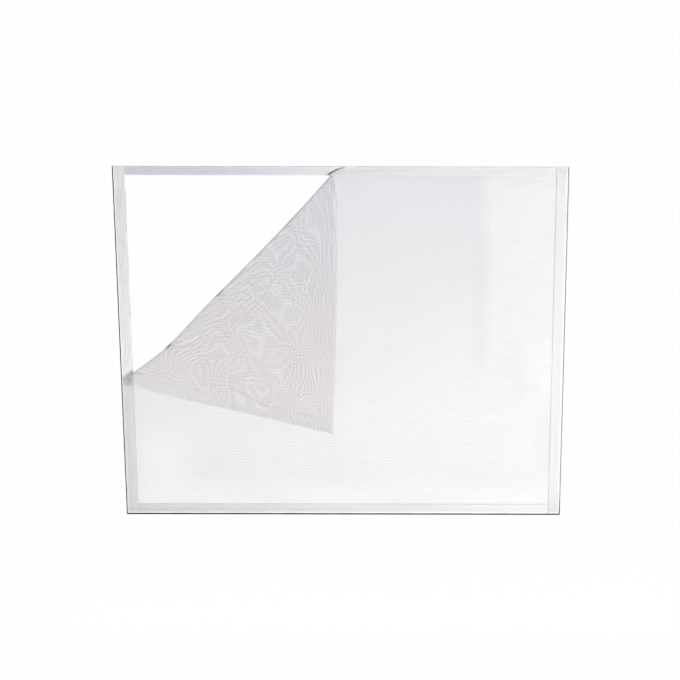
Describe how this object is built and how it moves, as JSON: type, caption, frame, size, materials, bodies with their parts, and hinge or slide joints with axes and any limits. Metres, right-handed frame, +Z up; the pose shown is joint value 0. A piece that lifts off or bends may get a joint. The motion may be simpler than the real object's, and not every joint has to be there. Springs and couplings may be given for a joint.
{
  "type": "adhesive insect screen",
  "caption": "Rectangular window insect screen: fine white net pressed onto self-adhesive hook tape along every side, with its upper left corner peeled off and folded over the front.",
  "frame": {"origin": "middle of the lower edge, in the plane of the adhesive backs", "axes": "+Z up along the window, +X to the right seen from the room, +Y into the window frame; the front faces -Y"},
  "size_m": [0.8, 0.0129, 0.66],
  "materials": {
    "adhesive": "matt dark grey adhesive foam",
    "hook_tape": "white hook tape",
    "net": "fine white net"
  },
  "bodies": {
    "root": {"adhesive_left": "adhesive", "adhesive_right": "adhesive", "adhesive_top": "adhesive", "adhesive_bottom": "adhesive", "hook_tape_left": "hook_tape", "hook_tape_right": "hook_tape", "hook_tape_top": "hook_tape", "hook_tape_bottom": "hook_tape", "insect_net": "net"}
  },
  "joints": []
}
